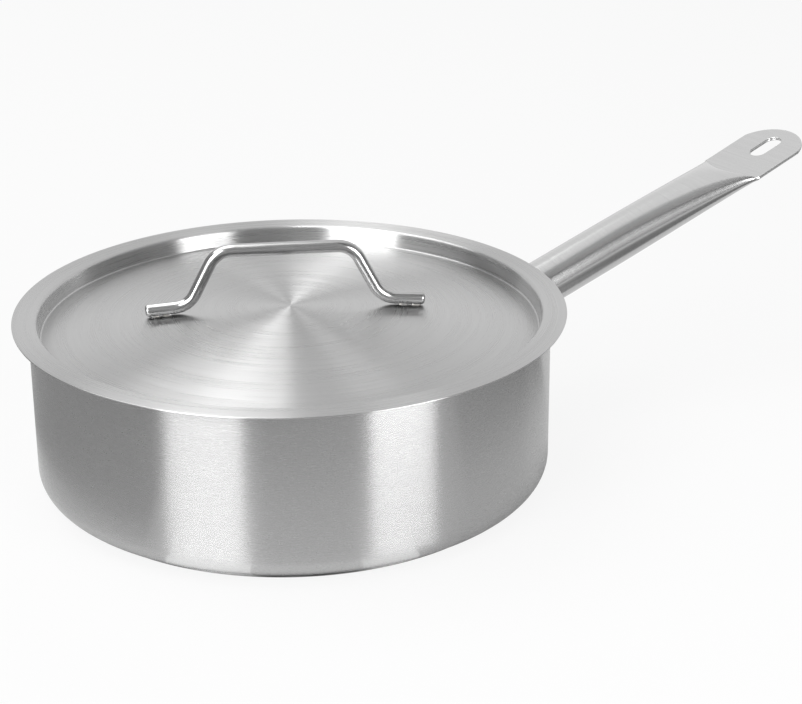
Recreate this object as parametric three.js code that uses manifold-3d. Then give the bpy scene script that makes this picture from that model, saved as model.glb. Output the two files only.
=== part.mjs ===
// Saute pan with lid: a drawn steel pan on a sandwich base, a pressed tube handle,
// and a plug lid with a bent rod grip. Millimetres and degrees, +Z up.
// The origin is the middle of the base's underside, and the pan handle runs along +X.
import * as THREE from "three";
import { mergeVertices } from "three/addons/utils/BufferGeometryUtils.js";
import Module from "manifold-3d";

// Air left between pieces that are welded, pressed or resting together
const seatGap = 0.3;

// Pan shell, drawn from one sheet
const panInnerDiameter = 240;
const panDepth = 78.5;
const panSheet = 1;
const panCornerRadius = 10;

// Sandwich base: an aluminium core inside a steel cap
const capSheet = 0.6;
const capInset = 10.7;
const capEdgeRadius = 1.5;
const coreThickness = 2.1;

// Lid: a flange over the rim, a plug wall inside the mouth and a shallow dome
const lidSheet = 0.7;
const lidOverhang = 7.4;
const lidPlay = 2.4;
const lidRecessDepth = 8.5;
const lidWallDraft = 1;
const lidCrestRadius = 1.4;
const lidFloorRadius = 3.4;
const lidDomeRise = 9.2;

// Lid grip: a round rod bent near the lid's middle, with feet that follow the dome
const rodDiameter = 6;
const rodSpan = 129.6;
const rodFootLength = 20.3;
const rodBarLength = 62.8;
const rodRise = 26.1;
const rodBendRadius = 11.5;
const rodOffset = -2.2;
const rodAngle = -29.2;
const rodWeldLength = 4;
const rodWeldWidth = 2.4;
const rodWeldPitch = 6;
const rodWeldHeight = 0.6;

// Pan handle: a round tube, pressed flat at its end into a tab with a hanging slot
const handleDrop = 28.6;
const tubeDiameter = 24.2;
const tubeSheet = 0.9;
const tubeTilt = 15.7;
const tubeLength = 164.7;
const pressLength = 92;
const tabWidth = 40.4;
const tabTilt = 18.1;
const tabStraight = 30.6;
const tabEndRise = 14.3;
const creaseBow = 6;
const slotLength = 20;
const slotWidth = 9.6;
const slotFromCrease = 26.4;

// Saddle plate on the wall, held by round spot welds, that the tube is welded to
const saddleSheet = 1.5;
const saddleWidth = 48;
const saddleHeight = 40;
const saddleCorner = 9;
const spotDiameter = 5.4;
const spotPitchAcross = 36;
const spotPitchUp = 24;
const spotProud = 0.4;
const beadDiameter = 3.2;

// Shape of the press: the tube gives way slowly at first and rounds off at the crease, and its bore
// stops a little before the crease
const pressPower = 1.5;
const pressRound = 0.27;
const pressWidthPower = 1.58;
const creaseBowPower = 3.5;
const boreStop = 4.6;

// Facets of the round forms
const turns = 60;
const arcSteps = 3;
const domeStations = 6;
const tubeSides = 24;
const tubePressRings = 10;
const rodSides = 12;
const rodSteps = 56;
const beadSides = 8;
const spotSides = 16;

// Places that follow from the sizes above
const panInnerRadius = panInnerDiameter / 2;
const panOuterRadius = panInnerRadius + panSheet;
const coreBottom = capSheet + seatGap;
const panBottom = coreBottom + coreThickness + seatGap;
const panRim = panBottom + panSheet + panDepth;
const capRadius = panOuterRadius - capInset;
const flangeMid = panRim + seatGap + lidSheet / 2;
const saddleInnerRadius = panOuterRadius + seatGap;
const saddleOuterRadius = saddleInnerRadius + saddleSheet;
const copeRadius = saddleOuterRadius + seatGap;
const handleHeight = panRim - handleDrop;
const tabThickness = 2 * tubeSheet;

// Finishes
const steel = (roughness) =>
  new THREE.MeshStandardMaterial({ color: 0xc4c5c7, metalness: 1, roughness });
const brushedSteel = steel(0.34);
const polishedSteel = steel(0.12);
const weldSteel = steel(0.5);
const aluminium = new THREE.MeshStandardMaterial({
  color: 0xd2d3d4,
  metalness: 1,
  roughness: 0.45,
});

const wasm = await Module();
wasm.setup();

// A closed geometry as a solid that can be joined and cut.
function solidOf(geometry) {
  const bare = new THREE.BufferGeometry();
  bare.setAttribute("position", geometry.getAttribute("position").clone());
  bare.setIndex(geometry.index);
  const merged = mergeVertices(bare, 1e-4);
  const mesh = new wasm.Mesh({
    numProp: 3,
    vertProperties: merged.getAttribute("position").array,
    triVerts: new Uint32Array(merged.index.array),
  });
  return new wasm.Manifold(mesh);
}

// A solid back as a geometry.
function geometryOf(solid) {
  const mesh = solid.getMesh();
  const geometry = new THREE.BufferGeometry();
  geometry.setAttribute("position", new THREE.BufferAttribute(mesh.vertProperties, 3));
  geometry.setIndex(new THREE.BufferAttribute(mesh.triVerts, 1));
  return geometry;
}

// A flat point, with the radius that rounds the line there.
function corner(x, y, round = 0) {
  return Object.assign(new THREE.Vector2(x, y), { round });
}

// How far from a corner its rounding arc starts.
function roundingReach(before, at, after) {
  const half = before.clone().sub(at).angleTo(after.clone().sub(at)) / 2;
  return at.round / Math.tan(half);
}

// A path through corners, each inner one rounded by an arc of its own radius.
function roundedPath(corners) {
  const path = new THREE.Path();
  path.moveTo(corners[0].x, corners[0].y);
  for (let i = 1; i < corners.length - 1; i++) {
    const at = corners[i];
    if (at.round === 0) {
      path.lineTo(at.x, at.y);
      continue;
    }
    const back = corners[i - 1].clone().sub(at).normalize();
    const ahead = corners[i + 1].clone().sub(at).normalize();
    const reach = roundingReach(corners[i - 1], at, corners[i + 1]);
    const start = at.clone().addScaledVector(back, reach);
    const end = at.clone().addScaledVector(ahead, reach);
    const inward = back.clone().add(ahead).normalize();
    const centre = at.clone().addScaledVector(inward, Math.hypot(reach, at.round));
    const from = start.clone().sub(centre).angle();
    const to = end.clone().sub(centre).angle();
    path.lineTo(start.x, start.y);
    path.absarc(centre.x, centre.y, at.round, from, to, back.cross(ahead) > 0);
  }
  const last = corners[corners.length - 1];
  path.lineTo(last.x, last.y);
  return path;
}

// The points of a path, without the doubled ones where its stretches meet.
function pointsAlong(path) {
  const points = path.getPoints(arcSteps);
  return points.filter((p, i) => i === 0 || p.distanceTo(points[i - 1]) > 1e-6);
}

// One face of a sheet: a line of points shifted to its left, with a point on the axis kept there.
function shifted(line, amount) {
  return line.map((point, i) => {
    const before = line[Math.max(i - 1, 0)];
    const after = line[Math.min(i + 1, line.length - 1)];
    const into = (i === 0 ? after.clone().sub(point) : point.clone().sub(before)).normalize();
    const out = (i === line.length - 1 ? into.clone() : after.clone().sub(point)).normalize();
    const along = into.clone().add(out).normalize();
    const left = new THREE.Vector2(-along.y, along.x);
    const moved = point.clone().addScaledVector(left, amount / along.dot(into));
    if (point.x < 1e-6) {
      moved.x = 0;
    }
    return moved;
  });
}

// A profile turned about the pan's axis.
function turned(profile) {
  return new THREE.LatheGeometry(profile, turns).rotateX(Math.PI / 2);
}

// A sheet of even thickness turned about the pan's axis, given the middle line of its section.
function turnedSheet(path, thickness) {
  const line = pointsAlong(path);
  return turned([...shifted(line, -thickness / 2), ...shifted(line, thickness / 2).reverse()]);
}

// A plain disc or ring between two radii and two heights.
function turnedBand(inner, outer, low, high) {
  const profile = [corner(inner, low), corner(outer, low), corner(outer, high), corner(inner, high)];
  return turned(inner > 0 ? [...profile, profile[0]] : profile);
}

// A skin over rings of matching points: capped at both ends, or with the last ring joined to the first.
function loft(rings, joined = false) {
  const sides = rings[0].length;
  const index = [];
  for (let i = 0; i < rings.length - (joined ? 0 : 1); i++) {
    const near = i * sides;
    const far = ((i + 1) % rings.length) * sides;
    for (let j = 0; j < sides; j++) {
      const next = (j + 1) % sides;
      index.push(near + j, near + next, far + next);
      index.push(near + j, far + next, far + j);
    }
  }
  const end = (rings.length - 1) * sides;
  for (let j = 1; j < sides - 1 && !joined; j++) {
    index.push(0, j + 1, j);
    index.push(end, end + j, end + j + 1);
  }
  const places = rings.flat().flatMap((point) => point.toArray());
  const geometry = new THREE.BufferGeometry();
  geometry.setAttribute("position", new THREE.Float32BufferAttribute(places, 3));
  geometry.setIndex(index);
  return geometry;
}

// Angles evenly spread over a full turn.
function roundAngles(count) {
  return Array.from({ length: count }, (_, i) => (2 * Math.PI * i) / count);
}

// A right prism of an outline in the YZ plane, from the axis out along +X.
function prismAlongX(shape, reach) {
  const prism = new THREE.ExtrudeGeometry(shape, {
    depth: reach,
    bevelEnabled: false,
    curveSegments: arcSteps,
  });
  const toYZ = new THREE.Matrix4().makeBasis(
    new THREE.Vector3(0, 1, 0),
    new THREE.Vector3(0, 0, 1),
    new THREE.Vector3(1, 0, 0),
  );
  return prism.applyMatrix4(toYZ);
}

// A rectangle with round corners about a middle point, as a shape; a full corner radius gives a slot.
function roundedRectangle(x, y, width, height, radius) {
  const right = x + width / 2 - radius;
  const left = x - width / 2 + radius;
  const top = y + height / 2 - radius;
  const low = y - height / 2 + radius;
  const quarter = Math.PI / 2;
  const shape = new THREE.Shape();
  shape.absarc(right, top, radius, 0, quarter, false);
  shape.absarc(left, top, radius, quarter, 2 * quarter, false);
  shape.absarc(left, low, radius, 2 * quarter, 3 * quarter, false);
  shape.absarc(right, low, radius, 3 * quarter, 4 * quarter, false);
  return shape;
}

const group = new THREE.Group();

function addPiece(parent, name, geometry, material) {
  const mesh = new THREE.Mesh(geometry, material);
  mesh.name = name;
  parent.add(mesh);
  return mesh;
}

// Pan body: flat floor, round corner and straight wall
function panBody() {
  const floorMid = panBottom + panSheet / 2;
  const wallMid = panInnerRadius + panSheet / 2;
  const path = roundedPath([
    corner(0, floorMid),
    corner(wallMid, floorMid, panCornerRadius - panSheet / 2),
    corner(wallMid, panRim),
  ]);
  return turnedSheet(path, panSheet);
}

// Base cap: a shallow cup that closes the core in against the pan's floor
function baseCap() {
  const wallMid = capRadius - capSheet / 2;
  const path = roundedPath([
    corner(0, capSheet / 2),
    corner(wallMid, capSheet / 2, capEdgeRadius - capSheet / 2),
    corner(wallMid, panBottom - seatGap),
  ]);
  return turnedSheet(path, capSheet);
}

// Base core: the disc inside the cap, with its lower edge clear of the cap's bend
function baseCore() {
  const radius = capRadius - capSheet - seatGap;
  const top = coreBottom + coreThickness;
  const bend = Math.min(capEdgeRadius, coreThickness);
  return turned([
    corner(0, coreBottom),
    corner(radius - bend, coreBottom),
    corner(radius, coreBottom + bend),
    corner(radius, top),
    corner(0, top),
  ]);
}

addPiece(group, "pan_body", panBody(), brushedSteel);
addPiece(group, "base_cap", baseCap(), brushedSteel);
addPiece(group, "base_core", baseCore(), aluminium);

// Lid: the middle line of its section, from the dome's top to the flange's edge
const plugRadius = panInnerRadius - lidPlay - lidSheet / 2;
const lidFloorEdge = plugRadius - lidWallDraft;
const lidFloorMid = flangeMid - lidRecessDepth;
const domeTop = lidFloorMid + lidDomeRise;
const domeRadius = (lidFloorEdge ** 2 + lidDomeRise ** 2) / (2 * lidDomeRise);
const domeCentre = domeTop - domeRadius;

// A point over the dome at a distance from the axis, raised square to the sheet's middle.
function overDome(distance, raise) {
  const lean = Math.asin(distance / domeRadius);
  const reach = domeRadius + raise;
  return new THREE.Vector2(reach * Math.sin(lean), domeCentre + reach * Math.cos(lean));
}

function lidShell() {
  const dome = Array.from({ length: domeStations }, (_, i) => {
    const station = overDome((lidFloorEdge * i) / domeStations, 0);
    return corner(station.x, station.y);
  });
  const path = roundedPath([
    ...dome,
    corner(lidFloorEdge, lidFloorMid, lidFloorRadius),
    corner(plugRadius, flangeMid, lidCrestRadius),
    corner(panOuterRadius + lidOverhang, flangeMid),
  ]);
  return turnedSheet(path, lidSheet);
}

addPiece(group, "lid_shell", lidShell(), brushedSteel);

// Lid grip, in its own upright plane through the pan's axis, slid over the dome by the rod's offset
const domeTurn = new THREE.Group();
domeTurn.position.z = domeCentre;
domeTurn.rotation.set(0, rodOffset / domeRadius, THREE.MathUtils.degToRad(rodAngle), "ZYX");
group.add(domeTurn);
const grip = new THREE.Group();
grip.position.z = -domeCentre;
domeTurn.add(grip);

const rodRadius = rodDiameter / 2;
const footMiddle = overDome((rodSpan - rodFootLength) / 2, lidSheet / 2 + seatGap + rodRadius);
const footLean = Math.asin((rodSpan - rodFootLength) / 2 / domeRadius);
const footAlong = new THREE.Vector2(Math.cos(footLean), -Math.sin(footLean));
const footEnd = footMiddle.clone().addScaledVector(footAlong, rodFootLength / 2);
const footBend = footMiddle.clone().addScaledVector(footAlong, -rodFootLength / 2);
const rodCorners = [
  corner(-footEnd.x, footEnd.y),
  corner(-footBend.x, footBend.y, rodBendRadius),
  corner(-rodBarLength / 2, footBend.y + rodRise, rodBendRadius),
  corner(rodBarLength / 2, footBend.y + rodRise, rodBendRadius),
  corner(footBend.x, footBend.y, rodBendRadius),
  corner(footEnd.x, footEnd.y),
];

// The rod's centre line as a curve in the grip's plane.
class RodCurve extends THREE.Curve {
  constructor(path) {
    super();
    this.path = path;
  }
  getPoint(t) {
    const flat = this.path.getPoint(t);
    return new THREE.Vector3(flat.x, 0, flat.y);
  }
}

// An oval pad under a foot, some way along it and square to it below the rod's centre line.
function footPad(side, along, below, length, width, height) {
  const pad = new THREE.CylinderGeometry(0.5, 0.5, 1, spotSides).rotateX(Math.PI / 2);
  pad.scale(length, width, height);
  pad.rotateY(footLean);
  const at = footMiddle.clone().addScaledVector(footAlong, along);
  pad.translate(at.x - below * Math.sin(footLean), 0, at.y - below * Math.cos(footLean));
  return side > 0 ? pad : pad.rotateZ(Math.PI);
}

// Two welds under each foot, about the middle of its straight stretch
const footStraight = rodFootLength - roundingReach(rodCorners[5], rodCorners[4], rodCorners[3]);
const weldMiddle = (rodFootLength - footStraight) / 2;
const weldPlaces = [1, -1].flatMap((side) =>
  [-0.5, 0.5].map((share) => ({ side, along: weldMiddle + share * rodWeldPitch })),
);

// Each weld stands on the lid and reaches into a hollow that it has melted in the rod
const weldBelow = rodRadius - rodWeldHeight / 2;
const hollowHeight = rodWeldHeight + 2 * seatGap;

function gripRod() {
  const round = roundAngles(rodSides).map(
    (angle) => new THREE.Vector2(rodRadius * Math.cos(angle), rodRadius * Math.sin(angle)),
  );
  const bar = new THREE.ExtrudeGeometry(new THREE.Shape(round), {
    steps: rodSteps,
    bevelEnabled: false,
    extrudePath: new RodCurve(roundedPath(rodCorners)),
  });
  const cut = weldPlaces.reduce((solid, { side, along }) => {
    const length = rodWeldLength + 2 * seatGap;
    const width = rodWeldWidth + 2 * seatGap;
    return solid.subtract(solidOf(footPad(side, along, weldBelow, length, width, hollowHeight)));
  }, solidOf(bar));
  return geometryOf(cut);
}

addPiece(grip, "lid_grip", gripRod(), polishedSteel);
weldPlaces.forEach(({ side, along }, i) => {
  const pad = footPad(side, along, weldBelow, rodWeldLength, rodWeldWidth, rodWeldHeight);
  addPiece(grip, `lid_weld_${i + 1}`, pad, weldSteel);
});

// Saddle plate: a patch of a ring round the wall, with a hole at each spot weld
const spotPlaces = [-0.5, 0.5].flatMap((across) =>
  [-0.5, 0.5].map((up) => ({ y: across * spotPitchAcross, z: handleHeight + up * spotPitchUp })),
);
const saddleReach = copeRadius + saddleSheet;

function spotPrism({ y, z }, diameter) {
  const radius = diameter / 2;
  const round = roundAngles(spotSides).map(
    (angle) => new THREE.Vector2(y + radius * Math.cos(angle), z + radius * Math.sin(angle)),
  );
  return solidOf(prismAlongX(new THREE.Shape(round), saddleReach));
}

function wallRing(inner, outer) {
  return solidOf(turnedBand(inner, outer, handleHeight - saddleHeight, handleHeight + saddleHeight));
}

function saddlePlate() {
  const outline = roundedRectangle(0, handleHeight, saddleWidth, saddleHeight, saddleCorner);
  const plate = wallRing(saddleInnerRadius, saddleOuterRadius).intersect(
    solidOf(prismAlongX(outline, saddleReach)),
  );
  const pierced = spotPlaces.reduce(
    (solid, place) => solid.subtract(spotPrism(place, spotDiameter + 2 * seatGap)),
    plate,
  );
  return geometryOf(pierced);
}

addPiece(group, "handle_saddle", saddlePlate(), brushedSteel);
spotPlaces.forEach((place, i) => {
  const ring = wallRing(saddleInnerRadius, saddleOuterRadius + spotProud);
  const spot = ring.intersect(spotPrism(place, spotDiameter));
  addPiece(group, `saddle_spot_${i + 1}`, geometryOf(spot), weldSteel);
});

// Tube handle: its own directions along, across and above the tube, from where its axis meets the wall
const tilt = THREE.MathUtils.degToRad(tubeTilt);
const tubeRoot = new THREE.Vector3(panOuterRadius, 0, handleHeight);
const tubeAlong = new THREE.Vector3(Math.cos(tilt), 0, Math.sin(tilt));
const tubeAcross = new THREE.Vector3(0, 1, 0);
const tubeAbove = new THREE.Vector3(-Math.sin(tilt), 0, Math.cos(tilt));
const tubeRadius = tubeDiameter / 2;
const tubeEnd = tubeRoot.clone().addScaledVector(tubeAlong, tubeLength);

// One oval ring of the tube, taken in by an amount, a share of the way into the press.
function tubeRing(station, pressed, takenIn) {
  const flat = tabThickness / 2;
  const left = (1 - pressed ** pressPower) ** pressRound;
  const height = THREE.MathUtils.lerp(flat, tubeRadius, left);
  const width = THREE.MathUtils.lerp(tabWidth / 2, tubeRadius, left ** pressWidthPower);
  const bow = creaseBow * pressed ** creaseBowPower;
  return roundAngles(tubeSides).map((angle) =>
    tubeRoot
      .clone()
      .addScaledVector(tubeAlong, station - bow * Math.sin(angle) ** 2)
      .addScaledVector(tubeAcross, (width - takenIn) * Math.cos(angle))
      .addScaledVector(tubeAbove, (height - takenIn) * Math.sin(angle)),
  );
}

// The tube's skin from inside the wall to the crease, or its bore when taken in by the sheet, with
// rings that crowd towards its end.
function tubeSkin(takenIn, pressEnd) {
  const inside = -tubeRadius;
  const pressStart = tubeLength - pressLength;
  const rings = [tubeRing(inside, 0, takenIn), tubeRing(pressStart / 2, 0, takenIn)];
  for (let i = 0; i <= tubePressRings; i++) {
    const pressed = pressEnd * (1 - (1 - i / tubePressRings) ** 2);
    rings.push(tubeRing(pressStart + pressed * pressLength, pressed, takenIn));
  }
  return solidOf(loft(rings));
}

// Tab: a plate along the crease's far side with a round end and the slot through it
function tabPlate() {
  const half = tabWidth / 2;
  const endRadius = (half ** 2 + tabEndRise ** 2) / (2 * tabEndRise);
  const endMiddle = tabStraight + tabEndRise - endRadius;
  const endAngle = Math.atan2(half, tabStraight - endMiddle);
  const outline = new THREE.Shape();
  outline.moveTo(0, half);
  outline.quadraticCurveTo(-2 * creaseBow - tabThickness, 0, 0, -half);
  outline.lineTo(tabStraight, -half);
  outline.absarc(endMiddle, 0, endRadius, -endAngle, endAngle, false);
  outline.holes.push(roundedRectangle(slotFromCrease, 0, slotLength, slotWidth, slotWidth / 2));
  const plate = new THREE.ExtrudeGeometry(outline, {
    depth: tabThickness,
    bevelEnabled: false,
    curveSegments: 2 * arcSteps,
  });
  plate.translate(0, 0, -tabThickness / 2);
  plate.rotateY(-THREE.MathUtils.degToRad(tabTilt));
  plate.translate(tubeEnd.x, tubeEnd.y, tubeEnd.z);
  return solidOf(plate);
}

// The bore stops short of the crease, where the wall turns in too steeply to stay a full sheet thick.
function handleTube() {
  const wall = solidOf(turnedBand(0, copeRadius, handleHeight - tubeDiameter, handleHeight + tubeDiameter));
  const boreEnd = 1 - boreStop / pressLength;
  const hollow = tubeSkin(0, 1).subtract(tubeSkin(tubeSheet, boreEnd));
  return geometryOf(hollow.add(tabPlate()).subtract(wall));
}

addPiece(group, "handle_tube", handleTube(), brushedSteel);

// Handle weld: a bead round the tube's root, where it meets the saddle
function handleWeld() {
  const bead = beadDiameter / 2;
  const away = tubeRadius + seatGap + bead;
  const stand = saddleOuterRadius + seatGap + bead;
  const rings = roundAngles(tubeSides).map((angle) => {
    const side = away * Math.cos(angle);
    const above = away * Math.sin(angle);
    const out = Math.sqrt(stand ** 2 - side ** 2);
    const station = (out - tubeRoot.x + above * Math.sin(tilt)) / Math.cos(tilt);
    const outward = tubeAcross
      .clone()
      .multiplyScalar(Math.cos(angle))
      .addScaledVector(tubeAbove, Math.sin(angle));
    const middle = tubeRoot.clone().addScaledVector(tubeAlong, station).addScaledVector(outward, away);
    return roundAngles(beadSides).map((turn) =>
      middle
        .clone()
        .addScaledVector(tubeAlong, bead * Math.cos(turn))
        .addScaledVector(outward, bead * Math.sin(turn)),
    );
  });
  return loft(rings, true);
}

addPiece(group, "handle_weld", handleWeld(), weldSteel);

export default group;
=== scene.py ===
# %% [markdown]
# # A steel saute pan with its lid
#
# This lesson dresses a finished CAD model: a spun steel pan on a sandwich base, a tube handle
# pressed flat into a hanging tab, and a plug lid with a bent rod grip.
# The CAD solids are faceted, because they carry the sizes and the motion.
# Here each one gets a smooth mesh of the same size in the same place, and a finish that shows
# how the metal was worked. Everything is in metres, and the pan's handle runs along +X.

# %% Load the frame
import math

import bmesh
import bpy
from mathutils import Matrix, Vector


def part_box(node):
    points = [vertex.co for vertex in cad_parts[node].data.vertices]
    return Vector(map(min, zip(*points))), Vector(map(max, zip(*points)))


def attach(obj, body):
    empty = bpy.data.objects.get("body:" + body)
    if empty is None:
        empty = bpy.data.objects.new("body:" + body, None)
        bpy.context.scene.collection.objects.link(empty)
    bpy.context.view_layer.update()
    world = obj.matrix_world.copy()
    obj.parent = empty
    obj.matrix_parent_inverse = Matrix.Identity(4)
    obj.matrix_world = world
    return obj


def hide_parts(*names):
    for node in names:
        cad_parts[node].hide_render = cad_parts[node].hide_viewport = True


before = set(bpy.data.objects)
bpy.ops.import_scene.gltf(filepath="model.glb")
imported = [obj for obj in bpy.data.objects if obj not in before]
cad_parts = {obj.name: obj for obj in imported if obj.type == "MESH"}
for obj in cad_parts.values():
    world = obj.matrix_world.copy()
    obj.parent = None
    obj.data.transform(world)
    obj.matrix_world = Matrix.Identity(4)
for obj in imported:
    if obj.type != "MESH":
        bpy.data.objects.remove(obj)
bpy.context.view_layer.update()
scene = bpy.context.scene
scene.view_settings.view_transform = "Standard"
MM = 0.001

# %% [markdown]
# ## The camera
#
# A product camera stands well back with a long lens, so that a round lid stays a clean ellipse.
# The place below comes from fitting a camera to the lid's rim, the wall and the base,
# and it is given the way a photographer would: how far out, how high, and where it points.
# The handle is turned away from the camera, so the camera goes round the pan by that turn.

# %% Camera
CAMERA_OUT = 909.6 * MM
CAMERA_UP = 428.8 * MM
CAMERA_PITCH = math.radians(22.07)
CAMERA_YAW = math.radians(3.23)
CAMERA_ROLL = math.radians(-0.344)
HANDLE_TURN = math.radians(32.02)
LENS_LENGTH = 93.6


def round_the_pan(azimuth, out, up):
    """A place by its azimuth in degrees from the camera's own, to the right, and its distance."""
    turn = math.radians(azimuth) - HANDLE_TURN
    return Vector((out * math.sin(turn), -out * math.cos(turn), up))


def add_camera():
    camera = bpy.data.objects.new("camera", bpy.data.cameras.new("camera"))
    scene.collection.objects.link(camera)
    camera.data.lens = LENS_LENGTH
    aim = Matrix.Rotation(-HANDLE_TURN - CAMERA_YAW, 4, "Z")
    aim @= Matrix.Rotation(math.pi / 2 - CAMERA_PITCH, 4, "X")
    aim @= Matrix.Rotation(CAMERA_ROLL, 4, "Z")
    camera.matrix_world = Matrix.Translation(round_the_pan(0, CAMERA_OUT, CAMERA_UP)) @ aim
    scene.camera = camera
    return camera


camera = add_camera()
print("camera at", [round(x, 3) for x in camera.matrix_world.translation])

# %% [markdown]
# ## The studio
#
# Steel has no colour of its own to show: it looks like what stands round it.
# So the light is set up as for a real shoot of a pan, with two upright softboxes that draw
# the bright bands on the wall, one overhead for the lid, and grey cards between them.
# The cards and lamps are hidden from the camera, but the steel still mirrors them.
# The room is white to the camera and in reflections. The floor is white to the camera and dimmer
# in reflections, and it keeps the pan's shadow.

# %% Nodes in one line
def wire(tree, kind, inputs=None, **settings):
    """A node with its settings, each input a plain value or another node's socket."""
    node = tree.nodes.new(kind)
    for key, value in settings.items():
        setattr(node, key, value)
    for key, value in (inputs or {}).items():
        if isinstance(value, bpy.types.NodeSocket):
            tree.links.new(value, node.inputs[key])
        else:
            node.inputs[key].default_value = value
    return node


def number(tree, operation, first, second=0.0):
    return wire(tree, "ShaderNodeMath", {0: first, 1: second}, operation=operation).outputs[0]


def seen_directly(tree):
    """One for rays from the camera, from gloss and through glass, and nought for the rest."""
    path = wire(tree, "ShaderNodeLightPath").outputs
    shown = number(tree, "MAXIMUM", path["Is Camera Ray"], path["Is Glossy Ray"])
    return number(tree, "MAXIMUM", shown, path["Is Transmission Ray"])


# %% White room and floor
ROOM_LIGHT = 0.45
FLOOR_SIZE = 14.0
FLOOR_WHITE = 0.55
FLOOR_GLOW = 0.88
FLOOR_GLOW_MIRRORED = 0.55


def white_room():
    world = bpy.data.worlds.new("white_room")
    scene.world = world
    world.use_nodes = True
    tree = world.node_tree
    tree.nodes.clear()
    dim = wire(tree, "ShaderNodeBackground", {"Color": (1, 1, 1, 1), "Strength": ROOM_LIGHT})
    white = wire(tree, "ShaderNodeBackground", {"Color": (1, 1, 1, 1), "Strength": 1.0})
    mixed = wire(
        tree, "ShaderNodeMixShader", {0: seen_directly(tree), 1: dim.outputs[0], 2: white.outputs[0]}
    )
    wire(tree, "ShaderNodeOutputWorld", {"Surface": mixed.outputs[0]})


def white_floor():
    mesh = bpy.data.meshes.new("floor")
    half = FLOOR_SIZE / 2
    corners = [(-half, -half, 0), (half, -half, 0), (half, half, 0), (-half, half, 0)]
    mesh.from_pydata(corners, [], [(0, 1, 2, 3)])
    floor = bpy.data.objects.new("floor", mesh)
    scene.collection.objects.link(floor)
    finish = bpy.data.materials.new("floor_white")
    finish.use_nodes = True
    tree = finish.node_tree
    tree.nodes.clear()
    path = wire(tree, "ShaderNodeLightPath").outputs
    seen_share = number(tree, "MULTIPLY", path["Is Camera Ray"], FLOOR_GLOW)
    mirrored_share = number(tree, "MULTIPLY", path["Is Glossy Ray"], FLOOR_GLOW_MIRRORED)
    share = number(tree, "ADD", seen_share, mirrored_share)
    paint = wire(tree, "ShaderNodeBsdfDiffuse", {"Color": (FLOOR_WHITE,) * 3 + (1,)})
    glow = wire(tree, "ShaderNodeEmission", {"Color": (1, 1, 1, 1), "Strength": 1.0})
    mixed = wire(tree, "ShaderNodeMixShader", {0: share, 1: paint.outputs[0], 2: glow.outputs[0]})
    wire(tree, "ShaderNodeOutputMaterial", {"Surface": mixed.outputs[0]})
    mesh.materials.append(finish)


white_room()
white_floor()
print("room light:", ROOM_LIGHT, "floor:", FLOOR_SIZE, "m across")

# %% [markdown]
# ### Softboxes
#
# A lamp without a size would only make a dot on steel, so each lamp is a rectangle.
# The two uprights are given by the azimuths of their sides: a wall that is round about the axis
# shows a far thing at half its azimuth, so these set where each bright band starts and ends.
# Brightness is given for the face and not as power, so a lamp can change size and keep its look.

# %% Softboxes
def softbox(name, place, turn, size, glow):
    """A rectangular lamp, given how brightly its face shines; its power follows from its area."""
    lamp = bpy.data.lights.new(name, "AREA")
    lamp.shape = "RECTANGLE"
    lamp.size, lamp.size_y = size
    lamp.energy = glow * math.pi * size[0] * size[1]
    holder = bpy.data.objects.new(name, lamp)
    scene.collection.objects.link(holder)
    holder.matrix_world = Matrix.Translation(place) @ turn
    holder.visible_camera = False
    print(f"{name}: {lamp.energy:.0f} W")


def upright_softbox(name, left, right, out, low, high, glow):
    """A softbox standing between two azimuths in degrees, facing the pan's axis."""
    middle = (left + right) / 2
    width = 2 * out * math.tan(math.radians(right - left) / 2)
    place = round_the_pan(middle, out, (low + high) / 2)
    turn = Matrix.Rotation(math.radians(middle) - HANDLE_TURN, 4, "Z")
    turn @= Matrix.Rotation(math.pi / 2, 4, "X")
    softbox(name, place, turn, (width, high - low), glow)


LEFT_BOX = (-53.6, -20.8)
RIGHT_BOX = (29, 56)
OVERHEAD_MIDDLE = round_the_pan(-90, 0.99, 1.9) + round_the_pan(180, 0.2, 0)
OVERHEAD_TURN = Matrix.Rotation(-HANDLE_TURN, 4, "Z")
OVERHEAD_SIZE = (1.92, 1.8)
OVERHEAD_GLOW = 2.9
upright_softbox("softbox_left", *LEFT_BOX, out=2.2, low=0.05, high=2.4, glow=7.4)
upright_softbox("softbox_right", *RIGHT_BOX, out=0.8, low=0.03, high=0.5, glow=7.8)
softbox("softbox_over", OVERHEAD_MIDDLE, OVERHEAD_TURN, OVERHEAD_SIZE, OVERHEAD_GLOW)

# %% [markdown]
# ### Cards
#
# Between the softboxes stand grey cards, which the steel mirrors as its darker bands.
# They could be flat boards, but a card that is bent round the pan ends just where a softbox starts.
# More cards lie on the floor. A pale ring close to the pan glows, though it is no lamp, and the
# round of its corner mirrors it as a painted reflection, a brighter strip. A dark ring inside that
# one is a painted shadow of the pan on the floor, and it draws the line of the base. The pale ring
# lies so near that the wall mirrors it straight ahead, so most of its parts meet at half the
# softboxes' azimuths, where the bands have their sides.

# %% Card maker
CARD_STEPS = 24


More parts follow.
